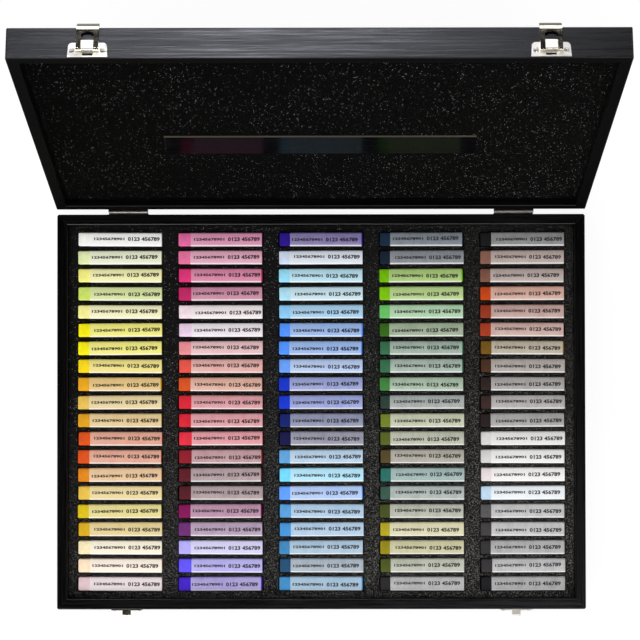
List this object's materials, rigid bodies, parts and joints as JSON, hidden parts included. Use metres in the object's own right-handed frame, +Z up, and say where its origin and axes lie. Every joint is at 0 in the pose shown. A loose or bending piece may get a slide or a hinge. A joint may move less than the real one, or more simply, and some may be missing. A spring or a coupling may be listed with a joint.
{
  "type": "pastel case",
  "caption": "Shallow black wooden case with a hinged lid, two hasp latches, slotted foam and rows of paper-sleeved soft pastel sticks in many colours.",
  "frame": {"origin": "centre of the underside of the base", "axes": "+Z up, +Y towards the hinges, +X to the right as seen from the latch side; the lid is stored open"},
  "size_m": [0.408, 0.417, 0.3286],
  "materials": {
    "black_stained_wood": "satin black stain over fine straight grain",
    "lid_panel_wood": "satin black stain over fine straight grain",
    "black_foam": "matte black closed-cell foam with fine pale flecks",
    "gloss_plate": "polished black, bare",
    "nickel": "bright nickel plate",
    "screw_nickel": "bright nickel plate",
    "sleeve_paper": "thin satin paper",
    "pastel_1_back": "matte chalky pigment",
    "pastel_1_front": "matte chalky pigment",
    "pastel_2_back": "matte chalky pigment",
    "pastel_2_front": "matte chalky pigment",
    "pastel_3_back": "matte chalky pigment",
    "pastel_3_front": "matte chalky pigment",
    "pastel_4_back": "matte chalky pigment",
    "pastel_4_front": "matte chalky pigment",
    "pastel_5_back": "matte chalky pigment",
    "pastel_5_front": "matte chalky pigment"
  },
  "bodies": {
    "base": {"base_front_wall": "black_stained_wood", "base_back_wall": "black_stained_wood", "base_left_wall": "black_stained_wood", "base_right_wall": "black_stained_wood", "base_bottom_panel": "lid_panel_wood", "base_foam_backing": "black_foam", "base_foam_tray": "black_foam", "hinge_left_base_leaf": "nickel", "hinge_left_pin": "nickel", "hinge_left_base_screws": "screw_nickel", "catch_left": "nickel", "catch_left_screws": "screw_nickel", "hinge_right_base_leaf": "nickel", "hinge_right_pin": "nickel", "hinge_right_base_screws": "screw_nickel", "catch_right": "nickel", "catch_right_screws": "screw_nickel"},
    "lid": {"lid_front_wall": "black_stained_wood", "lid_back_wall": "black_stained_wood", "lid_left_wall": "black_stained_wood", "lid_right_wall": "black_stained_wood", "lid_top_panel": "lid_panel_wood", "lid_foam_pad": "black_foam", "lid_name_plate": "gloss_plate", "hinge_left_lid_leaf": "nickel", "hinge_left_lid_screws": "screw_nickel", "latch_left_plate": "nickel", "latch_left_pin": "nickel", "latch_left_screws": "screw_nickel", "hinge_right_lid_leaf": "nickel", "hinge_right_lid_screws": "screw_nickel", "latch_right_plate": "nickel", "latch_right_pin": "nickel", "latch_right_screws": "screw_nickel"},
    "hasp_left": {"latch_left_hasp": "nickel"},
    "hasp_right": {"latch_right_hasp": "nickel"},
    "pastels_1": {"pastels_column_1_back": "pastel_1_back", "pastels_column_1_front": "pastel_1_front", "sleeves_column_1": "sleeve_paper"},
    "pastels_2": {"pastels_column_2_back": "pastel_2_back", "pastels_column_2_front": "pastel_2_front", "sleeves_column_2": "sleeve_paper"},
    "pastels_3": {"pastels_column_3_back": "pastel_3_back", "pastels_column_3_front": "pastel_3_front", "sleeves_column_3": "sleeve_paper"},
    "pastels_4": {"pastels_column_4_back": "pastel_4_back", "pastels_column_4_front": "pastel_4_front", "sleeves_column_4": "sleeve_paper"},
    "pastels_5": {"pastels_column_5_back": "pastel_5_back", "pastels_column_5_front": "pastel_5_front", "sleeves_column_5": "sleeve_paper"}
  },
  "joints": [
    {"name": "lid_hinge", "type": "hinge", "parent": "base", "child": "lid", "pos_m": [0, 0.1552, 0.0281], "axis": [-1, 0, 0], "range_deg": [-105, 0]},
    {"name": "hasp_left_swing", "type": "hinge", "parent": "lid", "child": "hasp_left", "pos_m": [-0.1505, 0.24131, 0.32669], "axis": [-1, 0, 0], "range_deg": [-190, 0]},
    {"name": "hasp_right_swing", "type": "hinge", "parent": "lid", "child": "hasp_right", "pos_m": [0.1505, 0.24131, 0.32669], "axis": [-1, 0, 0], "range_deg": [-190, 0]},
    {"name": "pastels_1_lift", "type": "slide", "parent": "base", "child": "pastels_1", "axis": [0, 0, 1], "range_m": [0, 0.06]},
    {"name": "pastels_2_lift", "type": "slide", "parent": "base", "child": "pastels_2", "axis": [0, 0, 1], "range_m": [0, 0.06]},
    {"name": "pastels_3_lift", "type": "slide", "parent": "base", "child": "pastels_3", "axis": [0, 0, 1], "range_m": [0, 0.06]},
    {"name": "pastels_4_lift", "type": "slide", "parent": "base", "child": "pastels_4", "axis": [0, 0, 1], "range_m": [0, 0.06]},
    {"name": "pastels_5_lift", "type": "slide", "parent": "base", "child": "pastels_5", "axis": [0, 0, 1], "range_m": [0, 0.06]}
  ]
}
